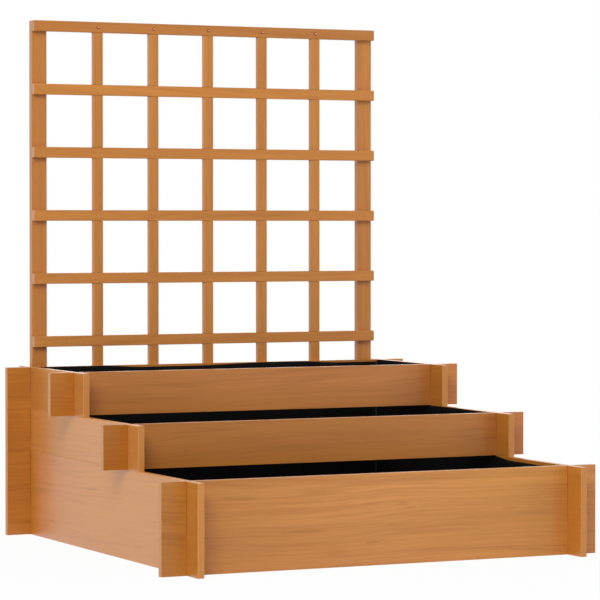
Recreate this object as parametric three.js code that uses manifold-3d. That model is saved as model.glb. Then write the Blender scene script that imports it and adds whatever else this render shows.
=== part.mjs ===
// Stepped three-tier wooden planter with a trellis behind it.
//
// Boards of one stock are cross-halved into each other like an egg crate. Each tier is a course of boards
// stacked on the course below and set one step back, and every board runs on past the board that it crosses.
// A black fabric liner stands inside. The trellis has two posts behind the back boards, seven rails screwed to
// the posts' faces, and five slats half-lapped into the rails, flush with their fronts.
//
// Millimetres, +Z up, the front faces -Y, and the origin is the centre of the footprint on the ground.

import * as THREE from "three";
import { mergeVertices } from "three/addons/utils/BufferGeometryUtils.js";
import Module from "manifold-3d";

// ---- Driving sizes: bed ----
const bedWidth = 846; // over the outer faces of the left and right boards
const bedDepth = 846; // over the outer faces of the lowest front board and the back boards
const boardThickness = 13.5;
const overhang = 52; // how far a board runs on past the board that it crosses
const lowerHeight = 178.5; // height of the lowest course's boards
const upperHeight = 89; // height of the middle and upper courses' boards
const tierStep = 289; // from one front board's face to the next one's
const lapShare = 0.6; // share of its height that a front or back board is notched, with the rest left to the side boards
const boardArris = 0.4; // chamfer along the boards' long edges

// ---- Driving sizes: trellis ----
const trellisGap = 1.5; // from a side board's inner face to the trellis
const trellisHeight = 1098; // top of the posts and of the top rail, above the ground
const postWidth = 34;
const postThickness = 16;
const railHeight = 23;
const railThickness = 14;
const railCount = 7; // spread evenly from the lowest rail to the top
const lowestRailRise = 18.4; // from the upper back board's bottom edge to the top of the rail that is screwed to it
const slatWidth = 22;
const slatThickness = 12;
const slatCount = 5; // spread evenly between the posts
const lapDepth = 7; // how deep a slat is cut to let a rail pass in front of it
const trellisArris = 0.7;

// ---- Driving sizes: liner ----
const linerThickness = 1.2;
const linerDrop = 4; // from a board's top edge down to the liner's edge

// ---- Driving sizes: screws ----
const screwShank = 3.5; // diameter
const screwHead = 7; // diameter
const screwHeadHeight = 2.2;
const screwSides = 12; // facets round a screw and its hole
const crownSteps = 4; // facets from a screw head's rim to its middle
const railScrewLength = 10; // from under the head to the tip, through a rail into a slat
const postScrewLength = 27; // through a post into a rail
const mountingScrewLength = 40; // through a post and the lowest rail into the upper back board

// ---- Clearances ----
const fit = 0.3; // between two pieces that touch
const screwClearance = 0.3; // all round a screw, and at its tip and head

// ---- Finishes ----
const finishes = {
  board: { color: 0xc4864f, roughness: 0.62, metalness: 0 },
  trellis: { color: 0xbb7c42, roughness: 0.62, metalness: 0 },
  liner: { color: 0x191a18, roughness: 0.95, metalness: 0 },
  screw: { color: 0x8a8a86, roughness: 0.4, metalness: 1 },
};

// ---- Places that several pieces share ----
const frontFace = -bedDepth / 2; // Y of the lowest front board's face
const backFace = bedDepth / 2 - boardThickness; // Y of the back boards' front face
const leftFace = -bedWidth / 2; // X of the left boards' outer face
const tierNames = ["lower", "middle", "upper"];
const tierFront = tierNames.map((_, tier) => frontFace + tier * tierStep);
const tierHeight = [lowerHeight, upperHeight, upperHeight];
const tierBottom = [0, lowerHeight + fit, lowerHeight + upperHeight + 2 * fit];
const tierTop = tierNames.map((_, tier) => tierBottom[tier] + tierHeight[tier]);
const boardLength = bedWidth + 2 * overhang; // of the front and back boards
const rearEnd = bedDepth / 2 + overhang; // Y where every side board ends

const trellisEdge = bedWidth / 2 - boardThickness - trellisGap; // |X| of the trellis's outer sides
const railFront = bedDepth / 2 + fit; // Y of the rails' and slats' front faces
const postFront = railFront + railThickness + fit;
const postBack = postFront + postThickness;
const postMiddle = trellisEdge - postWidth / 2; // |X| of a post's middle
const lowestRailTop = tierBottom[2] + lowestRailRise;
const railPitch = (trellisHeight - lowestRailTop) / (railCount - 1); // from one rail's top to the next one's
const railTops = Array.from({ length: railCount }, (_, i) => trellisHeight - i * railPitch);
const railMiddles = railTops.map((top) => top - railHeight / 2);
const slatPitch = (2 * postMiddle) / (slatCount + 1); // between the slats' middles
const slatMiddles = Array.from({ length: slatCount }, (_, i) => (i - (slatCount - 1) / 2) * slatPitch);
const shankHole = screwShank / 2 + screwClearance; // radius of a screw's hole

const X = new THREE.Vector3(1, 0, 0);
const Y = new THREE.Vector3(0, 1, 0);
const Z = new THREE.Vector3(0, 0, 1);

const wasm = await Module();
wasm.setup();

const planter = new THREE.Group();
planter.name = "planter_with_trellis";

function add(name, geometry, finish) {
  const mesh = new THREE.Mesh(geometry, new THREE.MeshStandardMaterial(finishes[finish]));
  mesh.name = name;
  planter.add(mesh);
}

// ---- Shapes ----

// A closed outline through points given as [across, up].
function outline(points) {
  return new THREE.Shape(points.map(([u, v]) => new THREE.Vector2(u, v)));
}

// Extrudes an outline over the stretch from `from` to `to`, with its edges chamfered by `arris`. The outline's
// across and up run along the given axes, and the stretch runs along their cross product.
function prism(shape, across, up, from, to, arris = 0) {
  const geometry = new THREE.ExtrudeGeometry(shape, {
    depth: to - from - 2 * arris,
    bevelEnabled: arris > 0,
    bevelThickness: arris,
    bevelSize: arris,
    bevelOffset: -arris,
    bevelSegments: 1,
    curveSegments: screwSides / 2, // three.js halves the step on arcs
  });
  geometry.translate(0, 0, from + arris);
  const through = new THREE.Vector3().crossVectors(across, up);
  return geometry.applyMatrix4(new THREE.Matrix4().makeBasis(across, up, through));
}

// The closed solid of a geometry, for cutting.
function solid(geometry) {
  const bare = new THREE.BufferGeometry();
  const flat = geometry.index ? geometry.toNonIndexed() : geometry;
  bare.setAttribute("position", flat.getAttribute("position"));
  const merged = mergeVertices(bare, 1e-4);
  return new wasm.Manifold(
    new wasm.Mesh({
      numProp: 3,
      vertProperties: merged.attributes.position.array,
      triVerts: new Uint32Array(merged.index.array),
    }),
  );
}

// The geometry with the given tools cut out of it.
function cut(geometry, tools) {
  let body = solid(geometry);
  for (const tool of tools) body = body.subtract(solid(tool));
  const mesh = body.getMesh();
  const result = new THREE.BufferGeometry();
  result.setAttribute("position", new THREE.BufferAttribute(new Float32Array(mesh.vertProperties), 3));
  result.setIndex(new THREE.BufferAttribute(new Uint32Array(mesh.triVerts), 1));
  const faceted = result.toNonIndexed();
  faceted.computeVertexNormals();
  return faceted;
}

// A round hole's tool along Y, from y0 to y1.
function drill(x, y0, y1, z, radius) {
  const tool = new THREE.CylinderGeometry(radius, radius, y1 - y0, screwSides);
  return tool.translate(x, (y0 + y1) / 2, z);
}

// ---- Bed boards ----

// A board's outline: `length` long from `start`, with a notch for each crossing board. The front and back boards
// are notched from the top, and the side boards from the bottom.
function boardOutline(start, length, bottom, height, crossings, notchFromTop) {
  const depth = (notchFromTop ? lapShare : 1 - lapShare) * height + fit / 2;
  const open = notchFromTop ? bottom + height : bottom; // the edge that the notches open to
  const floor = notchFromTop ? open - depth : open + depth;
  const notched = crossings.flatMap((at) => [
    [at - fit, open],
    [at - fit, floor],
    [at + boardThickness + fit, floor],
    [at + boardThickness + fit, open],
  ]);
  const far = notchFromTop ? bottom : bottom + height;
  return outline([[start, far], [start, open], ...notched, [start + length, open], [start + length, far]]);
}

// A board that runs from left to right, with its front face at `face`.
function crossBoard(face, tier) {
  const crossings = [leftFace, -leftFace - boardThickness];
  const shape = boardOutline(-boardLength / 2, boardLength, tierBottom[tier], tierHeight[tier], crossings, true);
  // Across X and up Z, an extrusion runs towards -Y.
  return prism(shape, X, Z, -face - boardThickness, -face, boardArris);
}

// A board that runs from front to back, with its lower face in X at `face`.
function sideBoard(face, tier) {
  const start = tierFront[tier] - overhang;
  const crossings = [tierFront[tier], backFace];
  const shape = boardOutline(start, rearEnd - start, tierBottom[tier], tierHeight[tier], crossings, false);
  return prism(shape, Y, Z, face, face + boardThickness, boardArris);
}

// The back board that the trellis hangs on, with holes for the mounting screws' tips.
function mountingBoard(tier) {
  const tip = screwTip(mountingScrewLength) - screwClearance;
  const holes = [-postMiddle, postMiddle].map((x) => {
    return drill(x, tip, backFace + boardThickness + fit, railMiddles[railCount - 1], shankHole);
  });
  return cut(crossBoard(backFace, tier), holes);
}

function makeBoards() {
  const highest = tierNames.length - 1;
  tierNames.forEach((tierName, tier) => {
    const back = tier === highest ? mountingBoard(tier) : crossBoard(backFace, tier);
    add(`${tierName}_front_board`, crossBoard(tierFront[tier], tier), "board");
    add(`${tierName}_back_board`, back, "board");
    add(`${tierName}_left_board`, sideBoard(leftFace, tier), "board");
    add(`${tierName}_right_board`, sideBoard(-leftFace - boardThickness, tier), "board");
  });
}

// ---- Liner ----

// Five panels of fabric that line the floor and the four walls, sewn along their meeting edges.
function makeLiner() {
  const insideX = bedWidth / 2 - boardThickness - fit; // |X| of the side panels' outer faces
  const insideFront = frontFace + boardThickness + fit;
  const insideBack = backFace - fit;
  const wall = linerThickness;
  const floorTop = wall;
  const wallBottom = floorTop + fit;

  const floorShape = outline([
    [-insideX, insideFront],
    [insideX, insideFront],
    [insideX, insideBack],
    [-insideX, insideBack],
  ]);
  add("liner_floor", prism(floorShape, X, Y, 0, floorTop), "liner");

  const endPanel = (top) =>
    outline([
      [-insideX, wallBottom],
      [insideX, wallBottom],
      [insideX, top],
      [-insideX, top],
    ]);
  const frontTop = tierTop[0] - linerDrop;
  const backTop = tierTop[2] - linerDrop;
  add("liner_front", prism(endPanel(frontTop), X, Z, -insideFront - wall, -insideFront), "liner");
  add("liner_back", prism(endPanel(backTop), X, Z, -insideBack, -insideBack + wall), "liner");

  // A side panel steps up behind each tier's front board.
  const from = insideFront + wall + fit;
  const to = insideBack - wall - fit;
  const stepAt = tierFront.map((face) => face + boardThickness + fit);
  const edge = [
    [from, wallBottom],
    [to, wallBottom],
    [to, tierTop[2] - linerDrop],
    [stepAt[2], tierTop[2] - linerDrop],
    [stepAt[2], tierTop[1] - linerDrop],
    [stepAt[1], tierTop[1] - linerDrop],
    [stepAt[1], tierTop[0] - linerDrop],
    [from, tierTop[0] - linerDrop],
  ];
  add("liner_left", prism(outline(edge), Y, Z, -insideX, -insideX + wall), "liner");
  add("liner_right", prism(outline(edge), Y, Z, insideX - wall, insideX), "liner");
}

// ---- Trellis ----

function makePosts() {
  for (const [side, middle] of [["left", -postMiddle], ["right", postMiddle]]) {
    const shape = outline([
      [middle - postWidth / 2, 0],
      [middle + postWidth / 2, 0],
      [middle + postWidth / 2, trellisHeight],
      [middle - postWidth / 2, trellisHeight],
    ]);
    for (const z of railMiddles) {
      const hole = new THREE.Path();
      hole.absarc(middle, z, shankHole, 0, 2 * Math.PI, true);
      shape.holes.push(hole);
    }
    add(`trellis_post_${side}`, prism(shape, X, Z, -postBack, -postFront, trellisArris), "trellis");
  }
}

// A rail lies flat in its outline, which shows the laps that the slats' backs pass through.
function makeRails() {
  railTops.forEach((top, index) => {
    const lapFloor = railFront + lapDepth;
    const back = railFront + railThickness;
    const laps = [...slatMiddles].reverse().flatMap((x) => [
      [x + slatWidth / 2 + fit, back],
      [x + slatWidth / 2 + fit, lapFloor],
      [x - slatWidth / 2 - fit, lapFloor],
      [x - slatWidth / 2 - fit, back],
    ]);
    const shape = outline([
      [-trellisEdge, railFront],
      [trellisEdge, railFront],
      [trellisEdge, back],
      ...laps,
      [-trellisEdge, back],
    ]);
    const middle = railMiddles[index];
    const lowest = index === railCount - 1;
    const postHoles = [-postMiddle, postMiddle].map((x) => {
      const tip = lowest ? railFront - fit : screwTip(postScrewLength) - screwClearance;
      return drill(x, tip, back + fit, middle, shankHole);
    });
    const slatHoles = index === 0 ? slatMiddles.map((x) => drill(x, railFront - fit, back, middle, shankHole)) : [];
    const rail = prism(shape, X, Y, top - railHeight, top, trellisArris);
    add(`trellis_rail_${index + 1}`, cut(rail, [...postHoles, ...slatHoles]), "trellis");
  });
}

// A slat seen from the side: cut away at its front wherever a rail passes.
function makeSlats() {
  const back = railFront + slatThickness;
  const lapFloor = railFront + lapDepth + fit;
  const bottom = railTops[railCount - 1] - railHeight;
  const laps = railTops.flatMap((top) => [
    [railFront, Math.min(top + fit, trellisHeight)],
    [lapFloor, Math.min(top + fit, trellisHeight)],
    [lapFloor, Math.max(top - railHeight - fit, bottom)],
    [railFront, Math.max(top - railHeight - fit, bottom)],
  ]);
  // The first and last laps open to the slat's ends.
  const front = laps.slice(1, -1);
  const shape = outline([[back, bottom], [back, trellisHeight], ...front]);
  slatMiddles.forEach((x, index) => {
    const slat = prism(shape, Y, Z, x - slatWidth / 2, x + slatWidth / 2, trellisArris);
    const hole = drill(x, railFront, railFront + railScrewLength, railMiddles[0], shankHole);
    add(`trellis_slat_${index + 1}`, cut(slat, [hole]), "trellis");
  });
}

// ---- Screws ----

// Y of the tip of a screw of this length that is driven from behind a post.
function screwTip(length) {
  return postBack + screwClearance - length;
}

// A screw along Y with its head at `seat`. It points towards +Y, or towards -Y when `fromBehind`.
function screwGeometry(x, seat, z, length, fromBehind) {
  const shank = screwShank / 2;
  const head = screwHead / 2;
  const point = screwShank; // length of the tapered point
  const crown = new THREE.EllipseCurve(0, 0, head, screwHeadHeight, 0, Math.PI / 2, false);
  const profile = [
    new THREE.Vector2(0, -length),
    new THREE.Vector2(shank, -length + point),
    new THREE.Vector2(shank, 0),
    ...crown.getPoints(crownSteps),
  ];
  profile[profile.length - 1].x = 0;
  const geometry = new THREE.LatheGeometry(profile, screwSides);
  if (!fromBehind) geometry.rotateX(Math.PI);
  return geometry.translate(x, seat, z);
}

function makeScrews() {
  const frontSeat = railFront - screwClearance;
  slatMiddles.forEach((x, index) => {
    add(
      `rail_screw_${index + 1}`,
      screwGeometry(x, frontSeat, railMiddles[0], railScrewLength, false),
      "screw",
    );
  });
  const rearSeat = postBack + screwClearance;
  for (const [side, x] of [["left", -postMiddle], ["right", postMiddle]]) {
    railMiddles.slice(0, -1).forEach((z, index) => {
      add(`post_screw_${side}_${index + 1}`, screwGeometry(x, rearSeat, z, postScrewLength, true), "screw");
    });
    const lowest = railMiddles[railCount - 1];
    add(`mounting_screw_${side}`, screwGeometry(x, rearSeat, lowest, mountingScrewLength, true), "screw");
  }
}

makeBoards();
makeLiner();
makePosts();
makeRails();
makeSlats();
makeScrews();

export default planter;
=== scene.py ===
"""Wooden planter in three steps with a trellis behind it: finishes, liner, screws and studio.

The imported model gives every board, rail, slat and post. This script stains and varnishes them, sews the
liner, cuts the screws in full, and sets up the camera and lights. Metres, +Z up, and the front faces -Y.
"""

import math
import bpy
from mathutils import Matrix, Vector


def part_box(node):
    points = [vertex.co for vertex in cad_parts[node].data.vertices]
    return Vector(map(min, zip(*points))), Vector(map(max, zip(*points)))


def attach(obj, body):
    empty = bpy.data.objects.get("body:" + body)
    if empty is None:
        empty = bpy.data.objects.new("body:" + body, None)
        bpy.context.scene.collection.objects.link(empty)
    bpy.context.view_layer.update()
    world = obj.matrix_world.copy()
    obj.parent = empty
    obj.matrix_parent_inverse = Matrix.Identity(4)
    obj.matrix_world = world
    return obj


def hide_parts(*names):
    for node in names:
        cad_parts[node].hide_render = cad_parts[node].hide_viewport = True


bl_info = {
    "name": "Stepped planter with trellis",
    "version": (1, 0, 0),
    "blender": (4, 5, 0),
    "location": "View3D > Sidebar > Planter",
    "description": "Finishes, liner, screws and studio for a stepped wooden planter with a trellis",
    "category": "Object",
}

from typing import NamedTuple

import bmesh
import bpy
from mathutils import Matrix, Vector, noise

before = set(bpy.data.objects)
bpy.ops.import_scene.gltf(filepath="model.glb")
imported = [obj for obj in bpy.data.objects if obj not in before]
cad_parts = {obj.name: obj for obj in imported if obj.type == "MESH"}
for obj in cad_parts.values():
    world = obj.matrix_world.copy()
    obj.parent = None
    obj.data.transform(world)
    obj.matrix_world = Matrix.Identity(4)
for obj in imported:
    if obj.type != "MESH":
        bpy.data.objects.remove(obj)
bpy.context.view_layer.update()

MM = 0.001
BODY = "root"

TIERS = ("lower", "middle", "upper")
SIDES = ("front", "back", "left", "right")
LINER_PANELS = ("floor", "front", "back", "left", "right")

# ---- Sizes and colours that a user would change ----

MOST_POWER = 4000  # watts that a lamp can be set to


def colour_property(name, description, default):
    """A colour that a user can set."""
    return bpy.props.FloatVectorProperty(
        name=name, description=description, subtype="COLOR", size=3, min=0, max=1, default=default
    )


def length_property(name, description, default, least, most):
    """A length in metres, between the least and the most that it can be set to."""
    kind = {"subtype": "DISTANCE", "unit": "LENGTH"}
    return bpy.props.FloatProperty(
        name=name, description=description, default=default, min=least, max=most, **kind
    )


def share_property(name, description, default):
    """A share from 0 to 1."""
    return bpy.props.FloatProperty(
        name=name, description=description, subtype="FACTOR", default=default, min=0, max=1
    )


def power_property(name, description, default):
    """A lamp's power in watts."""
    kind = {"subtype": "POWER", "unit": "POWER"}
    return bpy.props.FloatProperty(
        name=name, description=description, default=default, min=0, max=MOST_POWER, **kind
    )


class PlanterWood(bpy.types.PropertyGroup):
    """Colours and figure of the stained wood."""

    board: colour_property("Board colour", "Stain on the bed's boards", (0.56, 0.209, 0.027))
    trellis: colour_property("Trellis colour", "Stain on the posts, rails and slats", (0.575, 0.213, 0.031))
    figure: bpy.props.FloatProperty(
        name="Figure", description="How strongly the growth rings and fibres show", default=1.0, min=0, max=3
    )
    ring: length_property("Ring spacing", "Distance between two growth rings", 7 * MM, 1 * MM, 40 * MM)
    roughness: share_property("Roughness", "Roughness of the stained wood under its varnish", 0.4)
    varnish: share_property("Varnish", "How much satin varnish lies on the wood", 0.9)
    varnish_roughness: share_property("Varnish roughness", "Roughness of the satin varnish", 0.32)


class PlanterLiner(bpy.types.PropertyGroup):
    """Cloth that lines the bed."""

    colour: colour_property("Liner colour", "Colour of the pressed cloth", (0.0045, 0.0042, 0.004))
    thickness: length_property("Thickness", "Thickness of the cloth", 1 * MM, 0.2 * MM, 1.2 * MM)
    cell: length_property("Cell", "Size of the cloth's mesh cells", 8 * MM, 4 * MM, 40 * MM)
    slack: length_property("Slack", "How far the cloth's walls stand off the boards", 5 * MM, 0, 20 * MM)


class PlanterScrews(bpy.types.PropertyGroup):
    """Pan-head screws of the trellis."""

    colour: colour_property("Plating colour", "Colour of the screws' brown plating", (0.27, 0.075, 0.03))
    # The pale centre of each head: steel rubbed by the driver, and a painted highlight.
    worn_and_lit: colour_property("Worn colour", "Colour of the steel that the driver has rubbed", (0.80, 0.50, 0.36))
    head_height: length_property("Head height", "Height of the head on its seat", 2.2 * MM, 0.5 * MM, 6 * MM)
    shank: length_property("Shank", "Diameter over the thread's crests", 3.5 * MM, 1 * MM, 8 * MM)
    pitch: length_property("Pitch", "Distance between two turns of the thread", 1.6 * MM, 0.5 * MM, 4 * MM)


class PlanterStudio(bpy.types.PropertyGroup):
    """Light, floor and camera."""

    sky: bpy.props.FloatProperty(
        name="Sky", description="Strength of the even white light from all round", default=0.2, min=0, max=4
    )
    key: power_property("Key light", "Power of the large lamp at the front left", 128.0)
    rake: power_property("Raking light", "Power of the lamp low on the right", 55.0)
    rear: power_property("Rear light", "Power of the lamp behind on the left", 6.0)
    side: power_property("Side light", "Power of the lamp on the left", 22.0)
    top: power_property("Top light", "Power of the lamp overhead", 8.0)
    back: power_property("Back light", "Power of the large lamp behind on the right", 40.0)
    fill: power_property("Fill light", "Power of the large lamp at the front right", 20.0)
    floor: colour_property("Floor colour", "Colour of the studio floor", (0.86, 0.86, 0.86))
    lens: bpy.props.FloatProperty(
        name="Lens",
        description="Focal length of the camera",
        subtype="DISTANCE_CAMERA",
        default=178.6165,
        min=10,
        max=400,
    )


# ---- Shader maths ----

SATURATION = 0.3  # how much more a shaded colour's green changes than its red, and its blue than its green


class Wire:
    """What comes out of a shader node. Sums and products of wires add the Math nodes for them."""

    def __init__(self, tree, socket=None):
        self.tree = tree
        self.socket = socket

    def node(self, kind, settings=None, sockets=None, output=0):
        """Adds a node, sets it, joins or fills its sockets, and gives the wire out of it."""
        made = self.tree.nodes.new(kind)
        for name, value in (settings or {}).items():
            if name == "stops":
                set_stops(made.color_ramp, value)
            else:
                setattr(made, name, value)
        for name, value in (sockets or {}).items():
            if isinstance(value, Wire):
                self.tree.links.new(value.socket, made.inputs[name])
            else:
                made.inputs[name].default_value = value
        return Wire(self.tree, made.outputs[output] if len(made.outputs) else None)

    def math(self, operation, *operands):
        """Adds a Math node."""
        return self.node("ShaderNodeMath", {"operation": operation}, dict(enumerate(operands)))

    def __add__(self, other):
        return self.math("ADD", self, other)

    __radd__ = __add__

    def __sub__(self, other):
        return self.math("SUBTRACT", self, other)

    def __rsub__(self, other):
        return self.math("SUBTRACT", other, self)

    def __mul__(self, other):
        return self.math("MULTIPLY", self, other)

    __rmul__ = __mul__

    def __truediv__(self, other):
        return self.math("DIVIDE", self, other)

    def __pow__(self, power):
        return self.math("POWER", self, power)

    def __abs__(self):
        return self.math("ABSOLUTE", self)

    def sine(self):
        return self.math("SINE", self)

    def most(self, other):
        return self.math("MAXIMUM", self, other)

    def part(self, axis):
        """The X, Y or Z of a vector."""
        return self.node("ShaderNodeSeparateXYZ", None, {0: self}, output=axis)

    def rise(self, low, high):
        """0 below low, 1 above high, and smooth between them."""
        return self.node(
            "ShaderNodeMapRange",
            {"interpolation_type": "SMOOTHSTEP"},
            {"Value": self, "From Min": low, "From Max": high},
        )


def set_stops(ramp, stops):
    """Gives a colour ramp its stops, each a place and a colour."""
    while len(ramp.elements) > 1:
        ramp.elements.remove(ramp.elements[-1])
    for index, (place, colour) in enumerate(stops):
        stop = ramp.elements[0] if index == 0 else ramp.elements.new(place)
        stop.position = place
        stop.color = (*colour, 1)


def mixed(factor, a, b):
    """A colour between a and b."""
    colours = {6: a if isinstance(a, Wire) else (*a, 1), 7: b if isinstance(b, Wire) else (*b, 1)}
    return factor.node("ShaderNodeMix", {"data_type": "RGBA"}, {0: factor, **colours}, output=2)


def shaded(colour, share):
    """A colour made lighter or darker by a share, and a little more saturated where it is darker."""
    return tuple(min(1, part * share ** (1 + SATURATION * index)) for index, part in enumerate(colour))


def clouds(place, scale, detail, roughness, distortion=0.0):
    """A noise from 0 to 1, with a mean of 0.5."""
    sockets = {"Scale": scale, "Detail": detail, "Roughness": roughness, "Distortion": distortion}
    return place.node("ShaderNodeTexNoise", None, {"Vector": place, **sockets})


def bumped(height, strength, distance):
    """The normal of a surface in low relief, where a height of 1 stands for the distance."""
    return height.node("ShaderNodeBump", None, {"Strength": strength, "Distance": distance, "Height": height})


def new_material(name):
    """An empty material and a wire to build it from."""
    material = bpy.data.materials.new(name)
    material.use_nodes = True
    material.node_tree.nodes.clear()
    return material, Wire(material.node_tree)


def close_material(start, sockets):
    """Ends a material in one Principled BSDF."""
    surface = start.node("ShaderNodeBsdfPrincipled", None, sockets)
    start.node("ShaderNodeOutputMaterial", None, {"Surface": surface})


# ---- Wood ----

# Which way a stick's length, width and thickness run, as places in X, Y, Z.
GRAIN = {"X": (0, 2, 1), "Y": (1, 2, 0), "Z": (2, 0, 1)}


class Layer(NamedTuple):
    """One noise in a stick."""

    along: float  # changes per metre along the stick
    over: float  # changes per metre over its width and thickness
    offset: float  # what it adds to the stick's seed
    weight: float = 1.0  # how much it colours the stick, or how far in metres it bends the grain
    detail: float = 1
    roughness: float = 0.5
    shows: tuple = ()  # from where to where it fades in, if it shows only in places
    relief: float = 0.0  # how far it stands up from the wood, or sinks into it if below 0
    dulls: float = 0.0  # how much rougher it makes the wood


WANDER = Layer(1.5, 3, 0, weight=55 * MM)
RIPPLE = Layer(7, 12, 3, weight=7 * MM)
BANDS = Layer(1.2, 13, 7, weight=0.5)
STREAKS = Layer(1.6, 44, 11, weight=0.5, detail=4, roughness=0.65)
FIBRES = Layer(7, 330, 13, weight=0.45, detail=3, roughness=0.65, relief=0.6, dulls=0.18)
PORES = Layer(45, 1500, 17, weight=0.12, detail=2, shows=(0.1, 0.24), relief=-0.5)
WISPS = Layer(9, 88, 23, weight=0.35, shows=(0.2, 0.33), dulls=0.05)
DASHES = Layer(16, 260, 37, weight=0.16, shows=(0.12, 0.3))

# Late wood's thin dark lines, wide apart and close together. Each line lies where the first noise is 0, as
# wide as the number says, and comes and goes with the second.
LATE_WOOD = (
    (Layer(0.9, 30, 29), 0.035, Layer(2.2, 12, 32, shows=(-0.06, 0.14))),
    (Layer(0.9, 92, 41), 0.06, Layer(2.2, 36.8, 44, shows=(-0.06, 0.14))),
)
LATE_WOOD_WEIGHT = 0.24  # how much the lines darken a stick
LEAN = 0.035  # the steepest that the grain leans over a stick
RING_WEIGHT = 0.06  # how much the growth rings colour a stick
RING_MEAN = 0.35  # where they leave its colour as it is
RING_SHARPNESS = 2.5  # power that narrows the dark part of each
RING_RELIEF = -0.15  # the dark part of each lies deeper
RELIEF = 0.12 * MM  # what a relief of 1 stands for
RELIEF_STRENGTH = 0.25  # share of it that shows
SAWN_DULLS = 0.12  # how much rougher a sawn end is

# How much a face has to look along the stick to be a sawn end, over the stick's width to be an edge of it, and
# along any one of its three directions to be flat. Each fades in from the first number to the second.
SAWN_TURN = (0.6, 0.9)
EDGE_TURN = (0.8, 0.95)
FLAT_TURN = (0.85, 0.97)
TOP_WEAR = 0.4  # share of the varnish that is missing from the edges of front boards, back boards and rails

# How pale each part of the wood is, where the stick's own colour is 1.
EARLY_WOOD = 1.18
DARK_WOOD = 0.82
WISP = 0.5
PORE = 0.45
# The arrises: paler by wear and by a painted highlight.
RUBBED_AND_LIT = 1.4
SAWN_PALE = 1.15
SAWN_DARK = 0.85
SAWN_TINT = (1.04, 1.1, 1.55)  # how much redder, greener and bluer a sawn end is than the stain

# Where along a board the two tables below tell how pale and how pink it is, as shares of its length: its left
# or front end, close to that end, halfway, twice close to its other end, and that end.
STAIN_AND_LIGHT_PLACES = (0, 0.1, 0.5, 0.86, 0.92, 1)
# How pale each board is there: partly uneven stain, partly painted light and shade, darker where jutting
# corners and the black cloth shade a board and paler where its varnish would shine.
STAIN_AND_LIGHT_TONES = {
    "lower_front_board": (0.85, 0.9, 1.15, 1.15, 1.15, 1.05),
    "middle_front_board": (0.75, 0.8, 0.9, 1.0, 0.95, 0.9),
    "upper_front_board": (0.85, 0.9, 1.1, 1.1, 1.05, 1.0),
    "lower_left_board": (0.9, 1.15, 1.2, 1.25, 1.05, 0.85),
    "middle_left_board": (1.05, 1.2, 1.2, 1.15, 0.95, 0.85),
    "upper_left_board": (1.05, 1.1, 1.1, 1.0, 1.0, 0.9),
    "lower_back_board": (0.9, 0.9, 0.9, 0.95, 0.95, 0.95),
    "middle_back_board": (0.85, 0.9, 0.9, 0.95, 0.95, 0.95),
    "upper_back_board": (0.9, 0.9, 0.9, 0.95, 0.95, 0.95),
}
# How pink each is there: painted sheen, the pale reflection of the white surroundings in the varnish.
SHEEN_PINKS = {
    "lower_front_board": (0.8, 1.5, 1.9, 1.4, 1.6, 2.1),
    "middle_front_board": (0.4, 0.7, 1.1, 1.3, 1.5, 1.9),
    "upper_front_board": (0.4, 1.0, 1.5, 1.6, 1.5, 1.4),
    "lower_left_board": (1.0, 1.1, 1.0, 2.5, 0.6, 0.5),
    "middle_left_board": (1.7, 1.4, 1.3, 1.7, 0.5, 0.4),
    "upper_left_board": (1.8, 1.4, 1.0, 1.4, 1.2, 0.9),
}
# How green the front boards are all over.
GREENS = {"lower_front_board": 1.05, "middle_front_board": 0.95, "upper_front_board": 0.95}
# How pale some sticks of the trellis are.
STICK_TONES = {
    "trellis_rail_1": 0.85,
    "trellis_post_left": 0.9,
    "trellis_post_right": 0.95,
    "trellis_slat_1": 0.95,
}
# How strongly the figure shows through the stain on each side of the bed, and how pale its arrises are, by
# wear and by a painted highlight that also lifts the shade in the grooves between courses.
BOARD_FIGURE = {"front": 1.0, "back": 1.0, "left": 0.6, "right": 0.6}
BOARD_RUB_AND_HIGHLIGHT = {"front": 0.08, "back": 0.5, "left": 0.9, "right": 0.9}

# Dark flecks: how far along and up from its board's middle each lies, its length and its width, in mm.
FLECKS = {
    "lower_front_board": (
        (-35, 36, 56, 6),
        (-168, -9, 85, 9),
        (55, 20, 30, 4),
        (-30, -42, 40, 5),
        (275, 12, 40, 5),
    ),
    "lower_left_board": ((55, 30, 90, 7), (300, 30, 60, 6)),
}
FLECK_WEIGHT = 0.4  # how much a fleck darkens its board


class Stain(NamedTuple):
    """How one stick took its stain and varnish, and the painted light, shade and sheen on it."""

    colour: tuple
    sawn: tuple  # what the colour of its sawn ends is tinted from
    coarse: float = 1.0  # how wide its streaks are
    gloss: float = 1.0  # its share of the varnish
    figure: float = 1.0  # how strongly its figure shows
    rub_and_highlight: float = 0.08  # how pale its arrises are, by wear and by a painted highlight
    stain_and_light_tones: tuple = ()  # how pale it is at each place along it, by stain and by painted light and shade, if not the same all along
    sheen_pinks: tuple = ()  # how pink it is there, as painted sheen
    flecks: tuple = ()


def stick_noise(place, layer, seed, coarse=1.0):
    """A noise in a stick: about 0, or from 0 to 1 if it shows only in places.

    The seed moves it aside by other amounts in the three directions, so that no two sticks are alike."""
    run, rise, deep = place
    over = layer.over / coarse
    start = seed + layer.offset
    stretched = run.node(
        "ShaderNodeCombineXYZ",
        None,
        {0: run * layer.along + start, 1: rise * over + start * 1.7, 2: deep * over - start * 2.3},
    )
    pattern = clouds(stretched, 1, layer.detail, layer.roughness) - 0.5
    return pattern.rise(*layer.shows) if layer.shows else pattern


def grown(place, seed):
    """A place in a stick, moved as the tree's lean and wander bend every streak."""
    run, rise, deep = place
    wander = stick_noise(place, WANDER, seed) * WANDER.weight
    ripple = stick_noise(place, RIPPLE, seed) * RIPPLE.weight
    lean = LEAN * math.sin(2.1 * seed)
    return run, rise + run * lean + wander + ripple, deep + wander * 0.6


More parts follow.
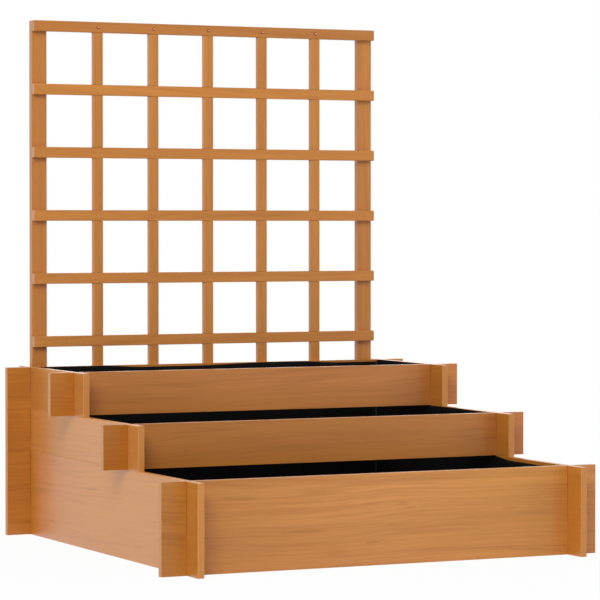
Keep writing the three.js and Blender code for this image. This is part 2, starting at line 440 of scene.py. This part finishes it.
def growth_rings(grain, pith, spacing):
    """Rings round a pith that lies (across, deep) from the stick's middle."""
    across = grain[1] + pith[0]
    inward = grain[2] + pith[1]
    radius = (across * across + inward * inward) ** 0.5
    return ((radius * (2 * math.pi / spacing)).sine() * 0.5 + 0.5) ** RING_SHARPNESS


def late_wood(grain, seed, coarse):
    """Thin dark lines that come and go."""
    lines = 0
    for layer, width, showing in LATE_WOOD:
        shown = stick_noise(grain, showing, seed, coarse)
        crease = abs(stick_noise(grain, layer, seed, coarse))
        lines = lines + shown * (1 - crease.rise(0.0, width))
    return lines


def fleck(grain, sizes):
    """1 in the middle of a fleck and 0 outside it."""
    along, up, length, width = (size * MM for size in sizes)
    far = ((grain[0] - along) / (length / 2)) ** 2 + ((grain[1] - up) / (width / 2)) ** 2
    return 1 - far.rise(0.1, 1.0)


def unevenly_stained_and_lit(colour, along, stain_and_light_tones, sheen_pinks):
    """Gives a colour its pale, dark and pink stretches: uneven stain, painted light and shade, and painted
    sheen. The colour is that of the palest and pinkest one.
    """
    stops = []
    for place, tone, sheen_pink in zip(STAIN_AND_LIGHT_PLACES, stain_and_light_tones, sheen_pinks):
        red, green, blue = shaded((1, 1, 1), tone / max(stain_and_light_tones))
        stops.append((place, (red, green, blue * sheen_pink / max(sheen_pinks))))
    stain = along.node("ShaderNodeValToRGB", {"stops": stops}, {0: along})
    times = {"data_type": "RGBA", "blend_type": "MULTIPLY"}
    return along.node("ShaderNodeMix", times, {0: 1.0, 6: colour, 7: stain}, output=2)


def wood(node, axes, seed, pith, stain):
    """Stained and varnished wood for one stick.

    Its growth rings run round a pith that lies (across, deep) from its middle, so its faces show long figure
    and its ends show arcs."""
    look = bpy.context.scene.planter_wood
    low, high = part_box(node)
    colour, coarse = stain.colour, stain.coarse
    strength = look.figure * stain.figure

    material, start = new_material(f"stain_{node}")
    coordinates = start.node("ShaderNodeTexCoord", output="Object")
    place = [coordinates.part(axis) - (low[axis] + high[axis]) / 2 for axis in axes]
    grain = grown(place, seed)
    rings = growth_rings(grain, pith, look.ring)
    bands, streaks, fibres = (stick_noise(grain, layer, seed, coarse) for layer in (BANDS, STREAKS, FIBRES))
    pores, wisps, dashes = (stick_noise(grain, layer, seed) for layer in (PORES, WISPS, DASHES))

    # A sawn end looks along the stick, and an arris looks along none of its three directions.
    facing = start.node("ShaderNodeTexCoord", output="Normal")
    turned = [abs(facing.part(axis)) for axis in axes]
    sawn = turned[0].rise(*SAWN_TURN)
    # Arrises are paler by wear and by a painted highlight.
    rubbed_and_lit = 1 - turned[0].most(turned[1]).most(turned[2]).rise(*FLAT_TURN)

    figure = bands * BANDS.weight + streaks * STREAKS.weight + fibres * FIBRES.weight
    figure = figure + (rings - RING_MEAN) * RING_WEIGHT + late_wood(grain, seed, coarse) * LATE_WOOD_WEIGHT
    for sizes in stain.flecks:
        figure = figure + fleck(grain, sizes) * (FLECK_WEIGHT + fibres)
    tone = (0.5 + strength * figure).rise(0.0, 1.0)
    plain = mixed(tone, shaded(colour, EARLY_WOOD), shaded(colour, DARK_WOOD))
    streaked = mixed(
        (wisps * WISPS.weight + dashes * DASHES.weight) * strength, plain, shaded(colour, WISP)
    )
    pored = mixed(pores * (PORES.weight * strength), streaked, shaded(colour, PORE))
    # Painted light, shade and sheen along the board, mixed with its uneven stain.
    if stain.stain_and_light_tones:
        along = place[0] / (high[axes[0]] - low[axes[0]]) + 0.5
        pored = unevenly_stained_and_lit(pored, along, stain.stain_and_light_tones, stain.sheen_pinks)

    sawn_colour = [part * tint for part, tint in zip(stain.sawn, SAWN_TINT)]
    late = 0.45 + rings * 0.12 + fibres * 0.3
    ends = mixed(late, shaded(sawn_colour, SAWN_PALE), shaded(sawn_colour, SAWN_DARK))
    # Pale arrises: wear, and a painted highlight that also lifts the shade in the grooves between courses.
    worn_and_lit = mixed(rubbed_and_lit * stain.rub_and_highlight, mixed(sawn, pored, ends), shaded(colour, RUBBED_AND_LIT))

    coat = look.varnish * stain.gloss
    if axes == GRAIN["X"]:
        coat = (1 - turned[1].rise(*EDGE_TURN) * TOP_WEAR) * coat
    height = fibres * FIBRES.relief + pores * PORES.relief + rings * RING_RELIEF
    sockets = {
        "Base Color": worn_and_lit,
        "Roughness": look.roughness + fibres * FIBRES.dulls + wisps * WISPS.dulls + sawn * SAWN_DULLS,
        "IOR": 1.5,
        "Specular IOR Level": 0.1,
        "Coat Weight": coat,
        "Coat Roughness": look.varnish_roughness,
        "Coat IOR": 1.5,
        "Normal": bumped(height, RELIEF_STRENGTH, RELIEF),
    }
    close_material(start, sockets)
    return material


def finish(node, material):
    """Puts a material on a CAD node."""
    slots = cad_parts[node].material_slots
    if not slots:
        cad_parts[node].data.materials.append(material)
    for slot in slots:
        slot.material = material


class PLANTER_OT_finish_boards(bpy.types.Operator):
    """Stain the twelve boards of the bed, with painted light, shade and sheen along them"""

    bl_idname = "planter.finish_boards"
    bl_label = "Finish boards"

    def execute(self, context):
        look = context.scene.planter_wood
        for tier, tier_name in enumerate(TIERS):
            for side, side_name in enumerate(SIDES):
                node = f"{tier_name}_{side_name}_board"
                stain_and_light_tones = STAIN_AND_LIGHT_TONES.get(node, ())
                sheen_pinks = SHEEN_PINKS.get(node, (1,) * len(STAIN_AND_LIGHT_PLACES))
                red, green, blue = shaded(look.board, max(stain_and_light_tones, default=1))
                stain = Stain(
                    colour=(red, green * GREENS.get(node, 1), blue * max(sheen_pinks)),
                    sawn=tuple(look.board),
                    figure=BOARD_FIGURE[side_name],
                    rub_and_highlight=BOARD_RUB_AND_HIGHLIGHT[side_name],
                    stain_and_light_tones=stain_and_light_tones,
                    sheen_pinks=sheen_pinks,
                    flecks=FLECKS.get(node, ()),
                )
                # Each board comes from another part of the log.
                grain = GRAIN["X" if side_name in ("front", "back") else "Y"]
                seed = 3.1 + 5.7 * tier + 1.9 * side
                pith = (0.012 * (side - 1.5) + 0.01 * tier, 0.07 + 0.012 * ((side * 3 + tier) % 4))
                finish(node, wood(node, grain, seed, pith, stain))
        return {"FINISHED"}


class PLANTER_OT_finish_trellis(bpy.types.Operator):
    """Stain the posts, rails and slats of the trellis"""

    bl_idname = "planter.finish_trellis"
    bl_label = "Finish trellis"

    def execute(self, context):
        look = context.scene.planter_wood
        sticks = [node for node in sorted(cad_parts) if node.startswith("trellis")]
        for index, node in enumerate(sticks):
            colour = shaded(look.trellis, STICK_TONES.get(node, 1))
            stain = Stain(colour, sawn=colour, coarse=0.4, gloss=0.9)
            grain = GRAIN["X" if "rail" in node else "Z"]
            seed = 40.3 + 2.7 * index
            pith = (0.01 * ((index % 5) - 2), 0.05 + 0.01 * (index % 3))
            finish(node, wood(node, grain, seed, pith, stain))
        return {"FINISHED"}


# ---- Liner ----

CORNER = 13 * MM  # radius that the cloth takes in the bed's upright corners
SOLE = 18 * MM  # radius that it takes between the floor and the walls
GAP = 0.1 * MM  # between the cloth and the boards
EDGE_REACH = 60 * MM  # how far below its edge the cloth follows the edge's waves

# The cloth's edge on the two walls where it shows: how high over its usual height it starts at the left or
# front end, how high its ripples are, and its steps: from where to where along the wall, and how far up.
EDGES = {
    "back": (3.8 * MM, 0, ((-0.26, -0.16, -4.6 * MM), (-0.04, 0.15, 4.6 * MM), (0.21, 0.31, -4.6 * MM))),
    "right": (-3.2 * MM, 0.4 * MM, ((-0.2, -0.12, 6.8 * MM),)),
}
EDGE_RIPPLE = 45 * MM  # length along the wall for a radian of the ripples
EDGE_WAVE = 2.2 * MM  # height of the waves on the other walls
EDGE_WAVE_LENGTH = 160 * MM

# Lengths over which the cloth swells and creases: in X and Y on the floor, and along and up a wall.
FLOOR_SWELL = (160 * MM, 130 * MM)
FLOOR_CREASE = (210 * MM, 170 * MM)
FLOOR_WRINKLE = (90 * MM, 120 * MM)
WALL_SWELL = (110 * MM, 300 * MM)
WALL_CREASE = (85 * MM, 320 * MM)
WALL_SLANT = (200 * MM, 140 * MM)
WALL_BEND = (300 * MM, 100 * MM)

EMBOSSING = 3400  # radians of the pressed dots' wave per metre of cloth
FOLD_HIGHLIGHT_WIDTH = 3 * MM  # of the painted highlight, a pale line along each corner of the cloth
# Colour of that painted highlight.
FOLD_HIGHLIGHT_COLOUR = (0.05, 0.052, 0.055)


def smooth(value, low, high):
    """0 below low, 1 above high, and smooth between them."""
    share = min(1.0, max(0.0, (value - low) / (high - low)))
    return share * share * (3 - 2 * share)


def swell(a, b, seed):
    """From 0 to 1, in soft hills and hollows."""
    return 0.5 + 0.5 * noise.noise(Vector((a, b, seed)))


def ridge(a, b, seed, width):
    """1 along a few wandering lines and 0 away from them, as where cloth is creased."""
    away = abs(noise.noise(Vector((a, b, seed)))) / width
    return max(0.0, 1 - away) ** 2


def spread(stops, cell):
    """Places from the first stop to the last, a cell apart at most, with each stop among them."""
    places = [stops[0]]
    for low, high in zip(stops, stops[1:]):
        steps = max(1, math.ceil((high - low) / cell - 1e-6))
        places += [low + (high - low) * step / steps for step in range(1, steps + 1)]
    return places


class LinerShape:
    """The bed that the cloth lines: its walls, and how high the cloth goes behind each tier's front board."""

    def __init__(self, look):
        low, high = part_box("liner_floor")
        inset = look.thickness / 2 + GAP
        self.slack = look.slack
        self.low = Vector((low.x + inset, low.y + inset, inset))
        self.high = Vector((high.x - inset, high.y - inset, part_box("liner_back")[1].z))
        clearance = low.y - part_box("lower_front_board")[1].y
        self.steps = [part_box(f"{tier}_front_board")[1].y + clearance for tier in TIERS[1:]]
        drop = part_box("lower_front_board")[1].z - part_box("liner_front")[1].z
        self.tops = [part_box(f"{tier}_front_board")[1].z - drop for tier in TIERS]

    def tier(self, wall, y):
        """The tier whose height a wall has at y."""
        if wall in ("front", "back"):
            return 0 if wall == "front" else len(TIERS) - 1
        return sum(y > step for step in self.steps)

    def edge(self, wall, s):
        """How far the cloth's edge rises over or falls below its usual height, s along the wall."""
        if wall not in EDGES:
            return EDGE_WAVE * noise.noise(Vector((s / EDGE_WAVE_LENGTH, 4.2, 1.3)))
        height, ripple, steps = EDGES[wall]
        risen = sum(change * smooth(s, start, end) for start, end, change in steps)
        return height + risen + ripple * math.sin(s / EDGE_RIPPLE)

    def rounded(self, x, y, z):
        """A point of the box moved onto the ball or rod that rounds its corner, and the way out of that."""
        core = Vector(
            (
                min(max(x, self.low.x + CORNER), self.high.x - CORNER),
                min(max(y, self.low.y + CORNER), self.high.y - CORNER),
                max(z, self.low.z + SOLE),
            )
        )
        away = Vector((x, y, z)) - core
        out = Vector((away.x / CORNER, away.y / CORNER, away.z / SOLE)).normalized()
        return core + Vector((out.x * CORNER, out.y * CORNER, out.z * SOLE)), out

    def floor_rise(self, x, y):
        """How far the cloth stands up from the floor."""
        soft = swell(x / FLOOR_SWELL[0], y / FLOOR_SWELL[1], 2.1)
        creased = ridge(x / FLOOR_CREASE[0], y / FLOOR_CREASE[1], 7.7, 0.09)
        wrinkled = ridge(x / FLOOR_WRINKLE[0], y / FLOOR_WRINKLE[1], 1.9, 0.08)
        return self.slack * (0.6 * soft + 0.9 * (creased + 0.6 * wrinkled))

    def wall_rise(self, s, z, top, seed):
        """How far the cloth stands off a wall, most between its foot and its edge."""
        soft = swell(s / WALL_SWELL[0], z / WALL_SWELL[1], seed)
        bend = 0.25 * noise.noise(Vector((z / WALL_BEND[1], s / WALL_BEND[0], seed + 5)))
        creased = ridge(s / WALL_CREASE[0] + bend, z / WALL_CREASE[1], seed + 9, 0.14)
        slanted = ridge(s / WALL_SLANT[0] + z / WALL_SLANT[1], z / WALL_SWELL[1], seed + 2, 0.07)
        loose = math.sin(math.pi * 0.94 * min(1.0, z / top))
        return self.slack * (0.16 * soft + loose * (0.5 * soft + 0.75 * creased + 0.5 * slanted))

    def shaped(self, x, y, z, wall):
        """Where a point of the box goes in the cloth."""
        point, out = self.rounded(x, y, z)
        if wall == "floor":
            point.z += self.floor_rise(x, y)
            return point
        s = x if wall in ("front", "back") else y
        top = self.tops[self.tier(wall, y)]
        point -= Vector((out.x, out.y, 0)) * self.wall_rise(s, z, top, SIDES.index(wall) * 3.7)
        point.z += self.edge(wall, s) * smooth(z, top - EDGE_REACH, top)
        return point


def liner_mesh(shape, cell):
    """A grid over the floor and the four walls, welded along the walls' feet and corners."""
    xs = spread([shape.low.x, shape.high.x], cell)
    ys = spread([shape.low.y, *shape.steps, shape.high.y], cell)
    zs = spread([shape.low.z, *shape.tops], cell)
    last_x, last_y = len(xs) - 1, len(ys) - 1
    levels = [zs.index(top) for top in shape.tops]

    cells = [("floor", i, j, 0) for i in range(last_x) for j in range(last_y)]
    cells += [("front", i, 0, k) for i in range(last_x) for k in range(levels[0])]
    cells += [("back", i, last_y, k) for i in range(last_x) for k in range(levels[-1])]
    for wall, i in (("left", 0), ("right", last_x)):
        for j in range(last_y):
            middle = (ys[j] + ys[j + 1]) / 2
            cells += [(wall, i, j, k) for k in range(levels[shape.tier(wall, middle)])]

    mesh = bmesh.new()
    flat = mesh.loops.layers.uv.new("flat")
    made = {}

    def vertex(key, wall):
        if key not in made:
            i, j, k = key
            made[key] = mesh.verts.new(shape.shaped(xs[i], ys[j], zs[k], wall))
        return made[key]

    for wall, i, j, k in cells:
        # Each cell's corners, and which of their places, in X, Y, Z, are its places on the flat cloth.
        keys, first, second = {
            "floor": ([(i, j, 0), (i + 1, j, 0), (i + 1, j + 1, 0), (i, j + 1, 0)], 0, 1),
            "front": ([(i, 0, k + 1), (i + 1, 0, k + 1), (i + 1, 0, k), (i, 0, k)], 0, 2),
            "back": ([(i, j, k), (i + 1, j, k), (i + 1, j, k + 1), (i, j, k + 1)], 0, 2),
            "left": ([(i, j, k), (i, j + 1, k), (i, j + 1, k + 1), (i, j, k + 1)], 1, 2),
            "right": ([(i, j, k + 1), (i, j + 1, k + 1), (i, j + 1, k), (i, j, k)], 1, 2),
        }[wall]
        face = mesh.faces.new([vertex(key, wall) for key in keys])
        face.smooth = True
        for loop, key in zip(face.loops, keys):
            places = (xs[key[0]], ys[key[1]], zs[key[2]])
            loop[flat].uv = (places[first], places[second])
    data = bpy.data.meshes.new("liner")
    mesh.to_mesh(data)
    mesh.free()
    return data


def cloth_material(look, shape):
    """Black pressed cloth: embossed dots, short loose fibres, a little dust, and a painted highlight along the
    corners.
    """
    material, start = new_material("black_cloth")
    flat = start.node("ShaderNodeUVMap", {"uv_map": "flat"})
    pressed = ((flat.part(0) * EMBOSSING).sine() * (flat.part(1) * EMBOSSING).sine()).rise(0.35, 0.8)
    fibres = clouds(flat, 900, 3, 0.7, distortion=1.5)
    dust = clouds(flat, 9, 4, 0.6)
    colour = mixed(fibres.rise(0.35, 0.75), shaded(look.colour, 0.8), shaded(look.colour, 1.35))
    dusty = mixed(dust.rise(0.5, 0.8) * 0.35, colour, shaded(look.colour, 2.2))

    # The painted highlight lies as far from one wall as from the other, and close to both.
    place = start.node("ShaderNodeTexCoord", output="Object")
    from_wall = []
    for axis in (0, 1):
        centre = (shape.low[axis] + shape.high[axis]) / 2
        from_wall.append((shape.high[axis] - shape.low[axis]) / 2 - abs(place.part(axis) - centre))
    off_fold_highlight = abs(from_wall[0] - from_wall[1] + (fibres - 0.5) * FOLD_HIGHLIGHT_WIDTH)
    fold_highlight = (1 - off_fold_highlight.rise(FOLD_HIGHLIGHT_WIDTH / 3, FOLD_HIGHLIGHT_WIDTH)) * (1 - from_wall[0].rise(CORNER * 0.6, CORNER))
    sockets = {
        "Base Color": mixed(fold_highlight * 0.5, dusty, FOLD_HIGHLIGHT_COLOUR),
        "Roughness": 0.72 + fibres * 0.2,
        "IOR": 1.45,
        "Specular IOR Level": 0.08,
        "Normal": bumped(fibres * 0.5 - pressed, 0.5, 0.15 * MM),
    }
    close_material(start, sockets)
    return material


class PLANTER_OT_make_liner(bpy.types.Operator):
    """Lay the black cloth in the bed"""

    bl_idname = "planter.make_liner"
    bl_label = "Make liner"

    def execute(self, context):
        look = context.scene.planter_liner
        shape = LinerShape(look)
        liner = bpy.data.objects.new("liner", liner_mesh(shape, look.cell))
        context.scene.collection.objects.link(liner)
        liner.data.materials.append(cloth_material(look, shape))
        wall = liner.modifiers.new("cloth thickness", "SOLIDIFY")
        wall.thickness = look.thickness
        wall.offset = 0

        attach(liner, BODY)
        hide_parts(*(f"liner_{panel}" for panel in LINER_PANELS))
        return {"FINISHED"}


# ---- Screws ----

HEAD_RIM = 0.3  # share of the head's height that stands upright
# The cross recess: its span and the width of its arms over the head's radius, its depth over the head's
# height, and what is left of its span and width at the bottom.
RECESS_SPAN = 1.15
RECESS_WIDTH = 0.3
RECESS_DEPTH = 0.62
RECESS_TAPER = (0.5, 0.6, 1)
THREAD_ROOT = 0.7  # radius between the thread's turns, over the radius over its crests
NECK_RADIUS = 0.92  # radius of the plain neck, over the same
INTO_HEAD = 0.4 * MM  # how far the shank reaches up into the head, to be joined to it
WELD = 0.01 * MM
SMOOTH_BELOW = math.radians(35)  # edges with a smaller angle are shaded smooth


def only(piece):
    """Makes a piece the one selected object."""
    bpy.ops.object.select_all(action="DESELECT")
    piece.select_set(True)
    bpy.context.view_layer.objects.active = piece


def pick_faces(piece, wanted):
    """In edit mode, selects the faces for which wanted(face) is true, and no others."""
    bpy.ops.mesh.select_mode(type="FACE")
    bpy.ops.mesh.select_all(action="DESELECT")
    mesh = bmesh.from_edit_mesh(piece.data)
    for face in mesh.faces:
        face.select = wanted(face)
    mesh.select_flush_mode()
    bmesh.update_edit_mesh(piece.data)


def applied(piece, kind, **settings):
    """Adds a modifier and applies it."""
    only(piece)
    modifier = piece.modifiers.new(kind.lower(), kind)
    for name, value in settings.items():
        setattr(modifier, name, value)
    bpy.ops.object.modifier_apply(modifier=modifier.name)


def pan_head(radius, height, facets=40, steps=6):
    """A low domed head on its seat at the origin, with a cross recess."""
    rim = HEAD_RIM * height
    bpy.ops.object.select_all(action="DESELECT")
    bpy.ops.mesh.primitive_cylinder_add(vertices=facets, radius=radius, depth=rim, location=(0, 0, rim / 2))
    head = bpy.context.object
    bpy.ops.object.mode_set(mode="EDIT")
    pick_faces(head, lambda face: face.normal.z > 0.5)
    turns = [math.pi / 2 * step / steps for step in range(steps)]
    for turn, after in zip(turns, turns[1:]):
        inward = radius * (math.cos(turn) - math.cos(after))
        upward = (height - rim) * (math.sin(after) - math.sin(turn))
        bpy.ops.mesh.inset(thickness=inward)
        bpy.ops.transform.translate(value=(0, 0, upward))
    bpy.ops.object.mode_set(mode="OBJECT")

    # The recess: two tapered blades that cross.
    span, blade, depth = RECESS_SPAN * radius, RECESS_WIDTH * radius, RECESS_DEPTH * height
    blades = []
    for turn in (0, math.pi / 2):
        bpy.ops.object.select_all(action="DESELECT")
        bpy.ops.mesh.primitive_cube_add(size=1, location=(0, 0, height))
        cutter = bpy.context.object
        bpy.ops.object.mode_set(mode="EDIT")
        bpy.ops.mesh.select_all(action="SELECT")
        bpy.ops.transform.resize(value=(span, blade, 2 * depth), center_override=(0, 0, height))
        pick_faces(cutter, lambda face: face.normal.z < -0.5)
        bpy.ops.transform.resize(value=RECESS_TAPER, center_override=(0, 0, height - depth))
        bpy.ops.mesh.select_all(action="SELECT")
        bpy.ops.transform.rotate(value=turn, orient_axis="Z", center_override=(0, 0, height))
        bpy.ops.object.mode_set(mode="OBJECT")
        blades.append(cutter)
    for cutter in blades:
        applied(head, "BOOLEAN", operation="DIFFERENCE", solver="EXACT", object=cutter)
    for cutter in blades:
        bpy.data.objects.remove(cutter)
    return head


def threaded_shank(radius, length, pitch, facets=18):
    """A threaded shank that hangs from the origin and tapers to its point."""
    root = THREAD_ROOT * radius
    neck = min(0.3 * length, 4 * pitch)
    profile = [(root, 0), (root, 0.5 * pitch), (radius, 0.75 * pitch), (root, pitch)]
    data = bpy.data.meshes.new("shank")
    data.from_pydata([(r, 0, z - length) for r, z in profile], [(0, 1), (1, 2), (2, 3)], [])
    shank = bpy.data.objects.new("shank", data)
    bpy.context.scene.collection.objects.link(shank)
    turns = math.ceil((length + INTO_HEAD) / pitch)
    winding = {"screw_offset": pitch, "iterations": turns, "use_merge_vertices": False}
    applied(shank, "SCREW", steps=facets, render_steps=facets, **winding)
    bpy.ops.object.mode_set(mode="EDIT")
    bpy.ops.mesh.select_all(action="SELECT")
    bpy.ops.mesh.remove_doubles(threshold=WELD)
    bpy.ops.mesh.select_all(action="DESELECT")
    bpy.ops.mesh.select_mode(type="EDGE")
    bpy.ops.mesh.select_non_manifold()
    bpy.ops.mesh.fill()
    bpy.ops.object.mode_set(mode="OBJECT")
    # The neck under the head is plain, and the other end tapers to a blunt point.
    tapered = 2 * radius
    blunt = 0.04
    for vertex in data.vertices:
        x, y, z = vertex.co
        wide = math.hypot(x, y)
        plain = smooth(z, -neck, -0.6 * neck)
        taper = min(1, max(blunt, (z + length) / tapered))
        wanted = (wide + (NECK_RADIUS * radius - wide) * plain) * taper
        vertex.co = (x * wanted / wide, y * wanted / wide, min(max(z, -length), INTO_HEAD))
    only(shank)
    bpy.ops.object.mode_set(mode="EDIT")
    bpy.ops.mesh.select_all(action="SELECT")
    bpy.ops.mesh.remove_doubles(threshold=WELD)
    bpy.ops.mesh.normals_make_consistent(inside=False)
    bpy.ops.object.mode_set(mode="OBJECT")
    return shank


def whole_screw(radius, height, length, look):
    """A screw that stands head up with its seat at the origin."""
    head = pan_head(radius, height)
    shank = threaded_shank(look.shank / 2, length, look.pitch)
    applied(head, "BOOLEAN", operation="UNION", solver="EXACT", object=shank)
    bpy.data.objects.remove(shank)
    only(head)
    bpy.ops.object.shade_smooth_by_angle(angle=SMOOTH_BELOW)
    # How far out a point of the head lies, for the pale centre of wear and painted highlight. The shank is all
    # plated.
    out = head.data.attributes.new("out", "FLOAT", "POINT")
    for vertex in head.data.vertices:
        x, y, z = vertex.co
        out.data[vertex.index].value = math.hypot(x, y) / radius if z > 0.2 * height else 1.0
    return head


def steel_material(look):
    """Brown-plated steel, a little cloudy, and pale round the recess: rubbed by the driver, and a painted
    highlight.
    """
    material, start = new_material("plated_steel")
    place = start.node("ShaderNodeTexCoord", output="Object")
    out = start.node("ShaderNodeAttribute", {"attribute_name": "out"}, output=2)
    cloud = clouds(place, 700, 3, 0.6)
    plated = mixed(cloud.rise(0.35, 0.7), shaded(look.colour, 0.8), shaded(look.colour, 1.1))
    # Pale round the recess: wear, and a painted highlight.
    rubbed_and_lit = 1 - (out + (cloud - 0.5) * 0.3).rise(0.35, 0.6)
    sockets = {
        "Base Color": mixed(rubbed_and_lit, plated, look.worn_and_lit),
        "Metallic": 1.0,
        "Roughness": 0.3 + cloud * 0.2,
        "Normal": bumped(cloud, 0.2, 0.03 * MM),
    }
    close_material(start, sockets)
    return material


class PLANTER_OT_make_screws(bpy.types.Operator):
    """Cut the trellis's screws in full and drive them where the model has them"""

    bl_idname = "planter.make_screws"
    bl_label = "Make screws"

    def execute(self, context):
        look = context.scene.planter_screws
        steel = steel_material(look)
        patterns = {}
        screws = [node for node in sorted(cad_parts) if "_screw_" in node]
        for index, node in enumerate(screws):
            low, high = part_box(node)
            length = round(high.y - low.y - look.head_height, 5)
            if length not in patterns:
                patterns[length] = whole_screw((high.x - low.x) / 2, look.head_height, length, look)
            from_front = node.startswith("rail")
            seat = low.y + look.head_height if from_front else high.y - look.head_height
            data = patterns[length].data.copy()
            turned = Matrix.Rotation(math.radians(90 if from_front else -90), 4, "X")
            driven = Matrix.Rotation(2.4 * index, 4, "Z")
            place = Matrix.Translation(((low.x + high.x) / 2, seat, (low.z + high.z) / 2))
            data.transform(place @ turned @ driven)
            data.materials.clear()
            data.materials.append(steel)
            screw = bpy.data.objects.new(f"driven_{node}", data)
            context.scene.collection.objects.link(screw)
            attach(screw, BODY)
            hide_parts(node)
        for pattern in patterns.values():
            bpy.data.objects.remove(pattern)
        return {"FINISHED"}


# ---- Stage ----

CAMERA_PLACE = Vector((-2.66554, -5.55604, 0.66811))
CAMERA_PITCH = math.radians(-1.033)
CAMERA_YAW = math.radians(-25.7825)
CAMERA_SHIFT = -25 / 600  # 25 of the picture's 600 pixels
SENSOR_WIDTH = 36  # millimetres
VIEW_DEPTH = 100  # metres

FLOOR_SIZE = 40  # metres
FLOOR_WHITENESS = 0.96  # share of plain white near the object, which leaves a faint shadow
FLOOR_FADE = (0.9, 1.8)  # how far from the middle the floor starts to turn plain white, and is so


def background_ray(start):
    """1 for a ray that shows the background: from the camera, in a reflection or through something clear."""
    rays = ("Is Camera Ray", "Is Glossy Ray", "Is Transmission Ray")
    camera, glossy, clear = (start.node("ShaderNodeLightPath", output=ray) for ray in rays)
    return camera.most(glossy).most(clear)


def studio_floor(look):
    """A wide pale floor that shows the object's shadow faintly and is plain white further out."""
    bpy.ops.object.select_all(action="DESELECT")
    bpy.ops.mesh.primitive_plane_add(size=FLOOR_SIZE, location=(0, 0, 0))
    floor = bpy.context.object
    floor.name = "studio_floor"
    material, start = new_material("studio_floor")
    place = start.node("ShaderNodeTexCoord", output="Object")
    out = start.node("ShaderNodeVectorMath", {"operation": "LENGTH"}, {0: place}, output=1)
    lit = start.node("ShaderNodeBsdfDiffuse", None, {"Color": (*look.floor, 1)})
    white = start.node("ShaderNodeEmission", None, {"Color": (1, 1, 1, 1), "Strength": 1.0})
    share = FLOOR_WHITENESS + (1 - FLOOR_WHITENESS) * out.rise(*FLOOR_FADE)
    surface = start.node("ShaderNodeMixShader", None, {0: background_ray(start) * share, 1: lit, 2: white})
    start.node("ShaderNodeOutputMaterial", None, {"Surface": surface})
    floor.data.materials.append(material)


def studio_sky(look):
    """White all round: at full strength as the background, and at the sky's strength as light."""
    world = bpy.data.worlds.new("studio_sky")
    world.use_nodes = True
    world.node_tree.nodes.clear()
    start = Wire(world.node_tree)
    light = start.node("ShaderNodeBackground", None, {"Color": (1, 1, 1, 1), "Strength": look.sky})
    white = start.node("ShaderNodeBackground", None, {"Color": (1, 1, 1, 1), "Strength": 1.0})
    surface = start.node("ShaderNodeMixShader", None, {0: background_ray(start), 1: light, 2: white})
    start.node("ShaderNodeOutputWorld", None, {"Surface": surface})
    bpy.context.scene.world = world


# Where each lamp hangs, and how wide it is.
LAMPS = {
    "key": ((-2.6, -3.2, 3.0), 2.2),
    "rake": ((4.4, -2.0, 1.2), 2.0),
    "rear": ((-2.6, 4.0, 1.6), 2.4),
    "side": ((-4.2, 0.3, 1.6), 2.2),
    "top": ((0.0, 0.0, 4.2), 2.5),
    "fill": ((2.6, -3.2, 3.0), 2.2),
    "back": ((1.8, 4.4, 2.6), 2.2),
}
LAMP_AIM = (0, 0, 0.4)


def soft_light(name, place, aim, size, power):
    """A square lamp that faces a point."""
    bpy.ops.object.light_add(type="AREA", location=place)
    lamp = bpy.context.object
    lamp.name = name
    lamp.data.shape = "SQUARE"
    lamp.data.size = size
    lamp.data.energy = power
    lamp.rotation_euler = (Vector(aim) - Vector(place)).to_track_quat("-Z", "Y").to_euler()


def studio_camera(look):
    """The camera, at the photograph's viewing angle."""
    rotation = (math.radians(90) + CAMERA_PITCH, 0, CAMERA_YAW)
    bpy.ops.object.camera_add(location=CAMERA_PLACE, rotation=rotation)
    camera = bpy.context.object
    camera.name = "studio_camera"
    camera.data.lens = look.lens
    camera.data.sensor_width = SENSOR_WIDTH
    camera.data.shift_y = CAMERA_SHIFT
    camera.data.clip_end = VIEW_DEPTH
    bpy.context.scene.camera = camera


class PLANTER_OT_set_stage(bpy.types.Operator):
    """Set up the camera, the floor and the soft light"""

    bl_idname = "planter.set_stage"
    bl_label = "Set stage"

    def execute(self, context):
        look = context.scene.planter_studio
        studio_camera(look)
        studio_floor(look)
        studio_sky(look)
        for name, (place, size) in LAMPS.items():
            soft_light(f"{name}_light", place, LAMP_AIM, size, getattr(look, name))
        context.scene.view_settings.view_transform = "Standard"
        return {"FINISHED"}


# ---- Panel ----

OPERATORS = (
    PLANTER_OT_set_stage,
    PLANTER_OT_finish_boards,
    PLANTER_OT_finish_trellis,
    PLANTER_OT_make_liner,
    PLANTER_OT_make_screws,
)


class PLANTER_PT_sidebar(bpy.types.Panel):
    """Lists what the planter is made of"""

    bl_label = "Stepped planter"
    bl_idname = "PLANTER_PT_sidebar"
    bl_space_type = "VIEW_3D"
    bl_region_type = "UI"
    bl_category = "Planter"

    def draw(self, context):
        for group in (getattr(context.scene, name) for name in GROUPS):
            box = self.layout.box()
            for name in group.bl_rna.properties.keys():
                if name not in ("name", "rna_type"):
                    box.prop(group, name)
        for operator in OPERATORS:
            self.layout.operator(operator.bl_idname)


GROUPS = {
    "planter_wood": PlanterWood,
    "planter_liner": PlanterLiner,
    "planter_screws": PlanterScrews,
    "planter_studio": PlanterStudio,
}
CLASSES = (*GROUPS.values(), *OPERATORS, PLANTER_PT_sidebar)


def register():
    for cls in CLASSES:
        bpy.utils.register_class(cls)
    for name, group in GROUPS.items():
        setattr(bpy.types.Scene, name, bpy.props.PointerProperty(type=group))


def unregister():
    for name in GROUPS:
        delattr(bpy.types.Scene, name)
    for cls in reversed(CLASSES):
        bpy.utils.unregister_class(cls)


def main():
    register()
    bpy.ops.planter.set_stage()
    bpy.ops.planter.finish_boards()
    bpy.ops.planter.finish_trellis()
    bpy.ops.planter.make_liner()
    bpy.ops.planter.make_screws()


if __name__ == "__main__":
    main()
